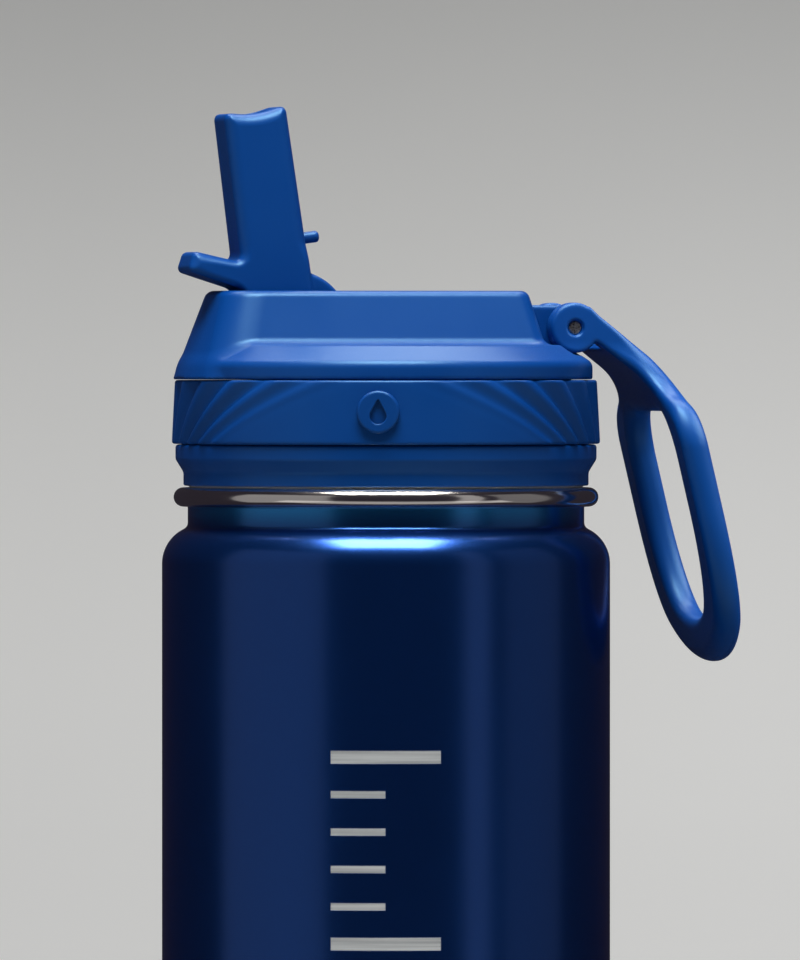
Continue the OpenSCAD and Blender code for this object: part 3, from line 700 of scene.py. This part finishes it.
def spout_field(x, y, z):
    """The bar with its saddle top, the hub, the thumb tab, the vent nub and the bore."""
    lean = math.radians(7.7)
    s = (x - HINGE_X) * math.cos(lean) + (z - HINGE_Z) * math.sin(lean)
    t = (z - HINGE_Z) * math.cos(lean) - (x - HINGE_X) * math.sin(lean)
    side = np.abs(y)
    half_w, half_thick, middle, reach, taper = 5.25, 5.4, -1.75, 36.2, 0.0138
    bar = meet(np.abs(s - middle) - half_thick + taper * (t - 23), t - reach, 1.5)
    saddle_r, saddle_rise = 13, 12.1
    bar = cut(np.maximum(bar, -t), np.hypot(s - middle, t - reach - saddle_rise) - saddle_r, 0.7)
    turn, root_s, root_t = math.radians(156.8), -5.15, 8.5
    u = (s - root_s) * math.cos(turn) + (t - root_t) * math.sin(turn)
    v = (t - root_t) * math.cos(turn) - (s - root_s) * math.sin(turn)
    tab_half, tab_long, tab_taper = 2.2, 11.5, 0.04
    tab = np.maximum(meet(np.abs(v) - tab_half + tab_taper * u, u - tab_long, 1.0), -u)
    edge = 1.0 + ease(t, 10, 14) - 0.4 * ease(-t, 0, 5)
    body = meet(join(bar, tab, 1.5), side - half_w, edge)
    hub_r, hub_inset = 9.25, 0.7
    body = join(body, meet(np.hypot(s, t) - hub_r, side - half_w + hub_inset, 0.7), 0.3)
    nub_t, nub_r, nub_tip = 14.1, 0.95, 6.95
    nub = np.maximum(meet(np.hypot(y, t - nub_t) - nub_r, s - nub_tip, 0.6), -s)
    bore_r, pin_r, pin_foot = 2.7, 1.26, 3.4
    body = cut(join(body, nub, 0.3), np.hypot(s - middle, y) - bore_r, 0.5)
    return cut(body, np.maximum(np.hypot(s, t) - pin_r, pin_foot - side), 0.1)


def build_spout():
    """The fold-down spout."""
    spout = field_piece("drinking_spout", spout_field, SPOUT_LOW, SPOUT_HIGH, 0.25)
    fit_out(spout, "spout", "blue_plastic", PLASTIC, "spout")


# Handle

def handle_outline(side, z):
    """Front view of the loop and its neck, and the hole through the loop."""
    half, foot, neck = LOOP_HIGH[1], LOOP_LOW[2] - PIN_Z, 9.2
    crown_r, hole_crown_r, hole_half, hole_top = 25, 18, 14.9, -13.6
    shoulder = plane(side, z, (neck, -8.7), 66.3)
    crown = np.hypot(side, np.minimum(z - foot - crown_r, 0)) - crown_r
    loop = meet(meet(side - half, shoulder, 10, 66), crown, 60, 31)
    outline = join(loop, np.maximum(side - neck + 0.2, -20 - z), 6)
    inner = np.hypot(side, np.minimum(z - foot - crown_r - 0.2, 0)) - hole_crown_r
    hole = meet(meet(side - hole_half, z - hole_top, 8), inner, 50, 34)
    return outline, hole


def handle_field(x, y, z):
    """Two ears, the arms that slope down from them, and the hanging loop."""
    x, z, side = x - PIN_X, z - PIN_Z, np.abs(y)
    slope, lean, bend = math.radians(37.8), math.radians(13.3), 39
    along = x * math.cos(slope) - z * math.sin(slope)
    over = x * math.sin(slope) + z * math.cos(slope)
    out = x * math.cos(lean) + z * math.sin(lean) - 12.39
    half_thick, arm_top, arm_foot, ear_r = 2.25, 4.05, 0.35, 4.1
    outer = meet(over - arm_top, out - half_thick, 20, bend)
    inner = meet(over - arm_foot, out + half_thick, 14, bend)
    strip = np.maximum(np.maximum(outer, -inner), -along)
    outline, hole = handle_outline(side, z)
    edge = 0.7 + 1.5 * ease(along, 4, 16)
    body = meet(join(strip, np.hypot(x, z) - ear_r, 0.5), outline, edge)
    body = cut(body, hole, 2.0)
    fork = np.maximum(side - 5.6, along - 6.3)
    body = cut(body, fork, 0.5)
    pin_r, recess_r, recess_floor = 1.14, 1.4, 8.7
    body = cut(body, np.hypot(x, z) - pin_r, 0.02)
    return cut(body, meet(np.hypot(x, z) - recess_r, recess_floor - side, 0.05), 0.15)


def build_handle():
    """The carry loop, which its own light needs to know."""
    loop = field_piece("carry_loop", handle_field, LOOP_LOW, LOOP_HIGH, 0.28)
    fit_out(loop, "handle", "blue_plastic", PLASTIC, "handle_loop")
    return loop


def build_pin():
    """The handle's steel pin, across the bracket."""
    half, radius, edge = PIN_HIGH[1], (PIN_HIGH[0] - PIN_LOW[0]) / 2, 0.25
    outline = rounded([(0, -half, 0), (radius, -half, edge), (radius, half, edge), (0, half, 0)])
    pin = lathe("hinge_pin", outline, 48, centre=(PIN_X, 0, PIN_Z), lying=True)
    fit_out(pin, "handle", "brushed_steel", pin_steel(), "handle_pin")


def finish_nodes():
    """Materials for the CAD nodes that show as they are."""
    steel, clear = brushed_steel(), clear_plastic()
    looks = {"base_plate": steel, "spout_pins": steel, "plug_cover": PLASTIC, "vent_valve": SILICONE,
             "spout_seal": SILICONE, "straw_bushing": SILICONE, "straw": clear,
             "vacuum_seal": cast_metal("seal_glass", (0.3, 0.32, 0.33), (0.16, 0.17, 0.18), 0.35),
             "getter": cast_metal("getter_alloy", (0.16, 0.15, 0.15), (0.08, 0.08, 0.08), 0.6)}
    for name, material in looks.items():
        shown = frame["nodes"][name]
        shown.data.materials.clear()
        shown.data.materials.append(material)


# Studio, in metres

CAMERA_TURN = math.radians(14.0)
AHEAD = Vector((math.sin(CAMERA_TURN), math.cos(CAMERA_TURN), 0))
RIGHT = Vector((AHEAD.y, -AHEAD.x, 0))
FIELD_H = 0.1564
CAMERA_DISTANCE = 2.4
CAMERA_DIP = math.radians(0.5)
AIM = RIGHT * 2.28 * MM + Vector((0, 0, (TOP_Z - 30.8) * MM))

# The surroundings as they light the object, and as its glossy surfaces mirror them
FILL = (0.13, 0.13, 0.13)
REFLECTED = (0.022, 0.019, 0.027)

# The sweep: its radius, its glow at floor level, and how fast the glow falls with height squared
SWEEP_R = 8.0
GLOW = 0.53
GLOW_FALL = 2.9


def build_camera():
    """A long lens, nearly square on, from 14 degrees towards the spout's side."""
    data = bpy.data.cameras.new("camera")
    data.sensor_width = 36
    data.lens = data.sensor_width * CAMERA_DISTANCE / FIELD_H
    data.clip_start, data.clip_end = 0.1, 40
    camera = bpy.data.objects.new("camera", data)
    sight = AHEAD * math.cos(CAMERA_DIP) - Vector((0, 0, math.sin(CAMERA_DIP)))
    camera.location = AIM - sight * CAMERA_DISTANCE
    camera.rotation_euler = sight.to_track_quat("-Z", "Y").to_euler()
    bpy.context.scene.collection.objects.link(camera)
    bpy.context.scene.camera = camera


def softbox(name, azimuth, elevation, distance, width, height, radiance):
    """A rectangular light aimed at AIM; azimuth runs from the camera's side to the object's right."""
    turn, lift = math.radians(azimuth), math.radians(elevation)
    level = RIGHT * math.sin(turn) - AHEAD * math.cos(turn)
    away = level * math.cos(lift) + Vector((0, 0, math.sin(lift)))
    data = bpy.data.lights.new(name, "AREA")
    data.shape, data.size, data.size_y = "RECTANGLE", width, height
    data.energy = radiance * math.pi * width * height
    light = bpy.data.objects.new(name, data)
    light.location = AIM + away * distance
    light.rotation_euler = away.to_track_quat("Z", "Y").to_euler()
    light.visible_camera = False
    bpy.context.scene.collection.objects.link(light)
    return light


def light_only(light, piece):
    """Let a light fall on one piece and on nothing else."""
    chosen = bpy.data.collections.new(light.name)
    chosen.objects.link(piece)
    light.light_linking.receiver_collection = chosen


def build_lights():
    """The softboxes that light every piece, and the dim surroundings."""
    softbox("left_bank", -61, 0, 1.0, 1.16, 1.6, 0.22)
    softbox("right_strip", 47, 0, 1.0, 0.24, 1.6, 0.28)
    softbox("right_bank", 81, 0, 1.0, 0.66, 1.6, 0.12)
    softbox("overhead", 0, 71, 0.9, 0.6, 0.5, 20.0)
    softbox("rear_overhead", 0, 112, 0.9, 0.9, 0.4, 6.0)
    softbox("floor_bounce", 5, -45, 0.29, 0.9, 0.16, 0.32)
    world = bpy.data.worlds.new("studio")
    bpy.context.scene.world = world
    world.use_nodes = True
    ambient = world.node_tree.nodes["Background"]
    path = world.node_tree.nodes.new("ShaderNodeLightPath")
    shade = world.node_tree.nodes.new("ShaderNodeMix")
    shade.data_type = "RGBA"
    shade.inputs[6].default_value = (*FILL, 1)
    shade.inputs[7].default_value = (*REFLECTED, 1)
    world.node_tree.links.new(path.outputs["Is Glossy Ray"], shade.inputs[0])
    world.node_tree.links.new(shade.outputs[2], ambient.inputs["Color"])


def sweep_material():
    """Pale grey floor, with painted shade that makes it darker round the object; the wall glows softly,
    brightest low down.
    """
    material, shader = new_material("sweep", (0.55, 0.55, 0.54), 0.8)
    grain = noise(material, 6, 3)
    flat = node(material, "ShaderNodeVectorMath", {"operation": "LENGTH"}, i0=place_of(material))
    # Painted shade: the floor's colour darkens towards the object, from 1.6 m in to 0.24 m
    far = spread(material, flat.outputs["Value"], 0, 1, SWEEP_R * 0.03, SWEEP_R * 0.2)
    pale = mix_color(material, grain, (0.53, 0.53, 0.52), (0.57, 0.57, 0.56))
    link(material, mix_color(material, far, (0.24, 0.24, 0.235), pale), shader, "Base Color")
    height = node(material, "ShaderNodeSeparateXYZ", Vector=place_of(material)).outputs[2]
    aside = node(material, "ShaderNodeVectorMath", {"operation": "DOT_PRODUCT"}, i0=place_of(material),
                 i1=tuple(RIGHT)).outputs["Value"]
    fall = math_node(material, "MULTIPLY", math_node(material, "MULTIPLY", height, height), -GLOW_FALL)
    glow = math_node(material, "MULTIPLY", math_node(material, "POWER", math.e, fall), GLOW)
    glow = math_node(material, "MULTIPLY", glow, spread(material, aside, 0.9, 1.0, -0.2, 0.2))
    wall = spread(material, flat.outputs["Value"], 0, 1, SWEEP_R * 0.06, SWEEP_R * 0.3)
    glow = math_node(material, "MULTIPLY", glow, wall)
    link(material, glow, shader, "Emission Strength")
    shader.inputs["Emission Color"].default_value = (1, 1, 0.985, 1)
    return material


def build_sweep():
    """A round floor that curves up into a wall far behind the object."""
    thick = 20
    wide, tall, curve = SWEEP_R / MM, 5000, 2500
    outline = rounded([(0, 0, 0), (wide, 0, curve), (wide, tall, 0), (wide + thick, tall, 0),
                       (wide + thick, -thick, curve + thick), (0, -thick, 0)], 24)
    sweep = lathe("sweep", outline, 96)
    sweep.data.materials.append(sweep_material())
    sweep.visible_glossy = False


build_camera()
build_lights()
build_sweep()
build_shell()
build_liner()
build_base()
build_collar()
build_gasket()
build_band()
build_badge()
build_housing()
build_spout()
handle_light = softbox("handle_light", 88, 38, 1.0, 1.0, 0.6, 6.0)
light_only(handle_light, build_handle())
build_pin()
finish_nodes()
bpy.context.scene.view_settings.view_transform = "Standard"
